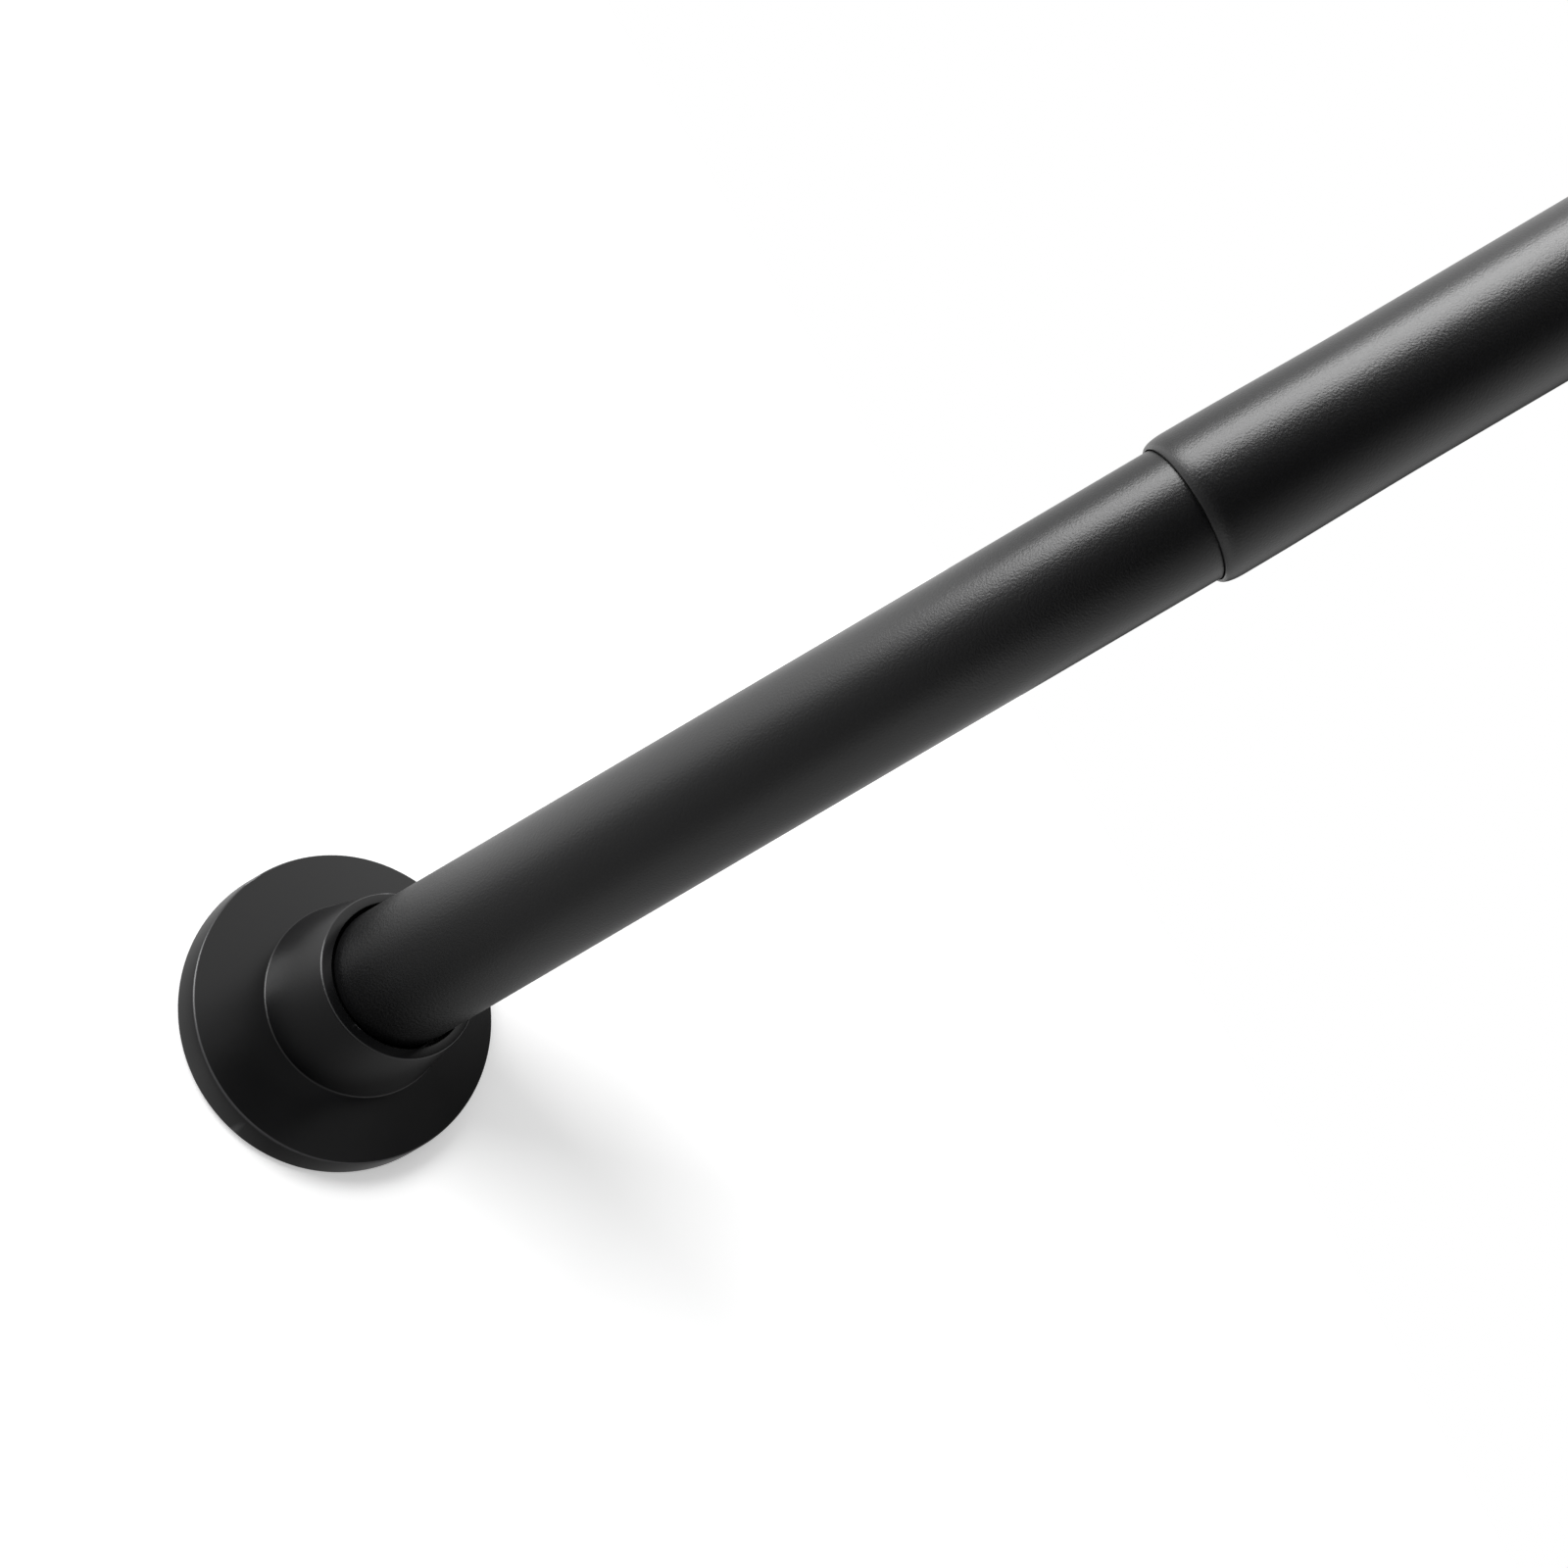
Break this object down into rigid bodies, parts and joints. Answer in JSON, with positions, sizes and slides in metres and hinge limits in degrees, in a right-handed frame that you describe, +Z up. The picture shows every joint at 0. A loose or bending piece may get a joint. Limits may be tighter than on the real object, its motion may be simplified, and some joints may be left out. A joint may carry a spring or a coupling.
{
  "type": "spring tension rod",
  "caption": "Telescoping rod that an inner spring presses between two walls, with a twist lock inside and a round swivelling flange at each end.",
  "frame": {"origin": "centre of the left rubber pad's wall face", "axes": "+X along the rod from the left wall to the right wall, +Z up as the rod hangs level"},
  "size_m": [0.74, 0.0474, 0.0474],
  "materials": {
    "black_abs": "fine moulded grain",
    "black_powder_coat": "satin powder coat",
    "black_rubber": "matt",
    "natural_nylon": "moulded",
    "zinc_plated_steel": "bright zinc",
    "spring_steel": "drawn wire",
    "brass": "turned"
  },
  "bodies": {
    "left_wall_end": {"left_flange": "black_abs", "left_wall_pad": "black_rubber"},
    "inner_tube": {"inner_tube": "black_powder_coat", "left_end_plug": "natural_nylon", "left_pivot_screw": "zinc_plated_steel", "left_pivot_washer": "zinc_plated_steel", "guide_bush": "natural_nylon", "bush_spring_washer": "zinc_plated_steel", "coil_spring": "spring_steel"},
    "spindle": {"spindle": "zinc_plated_steel", "travel_stop_nut": "zinc_plated_steel", "travel_stop_washer": "zinc_plated_steel", "collar_spring_washer": "zinc_plated_steel", "thrust_washer": "zinc_plated_steel", "sleeve_clip": "spring_steel", "cone_stop_nut": "zinc_plated_steel"},
    "sleeve": {"expander_sleeve": "natural_nylon"},
    "cone": {"cone_nut": "brass"},
    "outer_tube": {"outer_tube": "black_powder_coat", "right_end_plug": "natural_nylon", "right_pivot_screw": "zinc_plated_steel", "right_pivot_washer": "zinc_plated_steel"},
    "right_wall_end": {"right_flange": "black_abs", "right_wall_pad": "black_rubber"}
  },
  "joints": [
    {"name": "left_swivel", "type": "hinge", "parent": "left_wall_end", "child": "inner_tube", "pos_m": [0, 0, 0], "axis": [1, 0, 0], "continuous": true},
    {"name": "spring_travel", "type": "slide", "parent": "inner_tube", "child": "spindle", "axis": [1, 0, 0], "range_m": [-0.02, 0], "stiffness_N_per_m": 2500, "springref_m": 0.02, "deforming": ["coil_spring"]},
    {"name": "twist_lock", "type": "hinge", "parent": "spindle", "child": "sleeve", "pos_m": [0.525, 0, 0], "axis": [1, 0, 0], "range_deg": [-180, 720]},
    {"name": "cone_slide", "type": "slide", "parent": "sleeve", "child": "cone", "axis": [1, 0, 0], "range_m": [-0.0006, 0.0021]},
    {"name": "telescope", "type": "slide", "parent": "sleeve", "child": "outer_tube", "axis": [1, 0, 0], "range_m": [-0.115, 0.174]},
    {"name": "right_swivel", "type": "hinge", "parent": "outer_tube", "child": "right_wall_end", "pos_m": [0.74, 0, 0], "axis": [1, 0, 0], "continuous": true}
  ],
  "couplings": [
    {"joint": "cone_slide", "follows": "twist_lock", "m_per_rad": 0.00015915}
  ]
}
